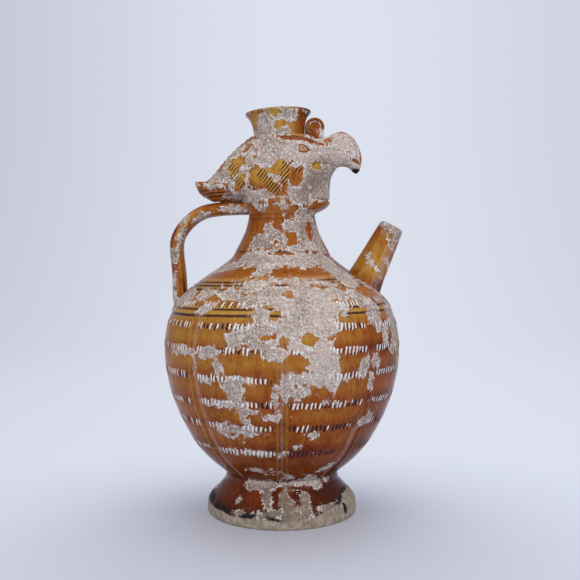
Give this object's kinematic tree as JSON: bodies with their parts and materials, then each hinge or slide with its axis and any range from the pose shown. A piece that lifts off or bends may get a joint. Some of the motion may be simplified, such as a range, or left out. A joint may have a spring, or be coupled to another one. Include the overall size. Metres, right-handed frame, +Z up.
{
  "type": "phoenix-head ewer",
  "caption": "Glazed ceramic ewer with a lobed body, splayed foot, phoenix head under a cup mouth, strap handle and short straight spout.",
  "frame": {"origin": "centre of the foot's base plane, on the vessel's throwing axis", "axes": "+Z up along the throwing axis, +X towards the beak and the spout, -X towards the handle"},
  "size_m": [0.227, 0.2236, 0.3815],
  "materials": {
    "amber_glaze": "glossy amber lead glaze, worn and encrusted in patches",
    "brown_glaze": "glossy red-brown glaze over a bare buff edge",
    "olive_glaze": "glossy olive-amber glaze, largely worn",
    "worn_glaze": "matt, degraded beige-grey glaze"
  },
  "bodies": {
    "root": {"foot": "brown_glaze", "lower_body": "amber_glaze", "shoulder": "amber_glaze", "neck": "amber_glaze", "head": "olive_glaze", "mouth_cup": "olive_glaze", "beak": "worn_glaze", "wattle": "worn_glaze", "plume": "amber_glaze", "crest_curl": "amber_glaze", "right_eye": "worn_glaze", "right_brow": "amber_glaze", "left_eye": "worn_glaze", "left_brow": "amber_glaze", "handle": "amber_glaze", "spout": "amber_glaze"}
  },
  "joints": []
}
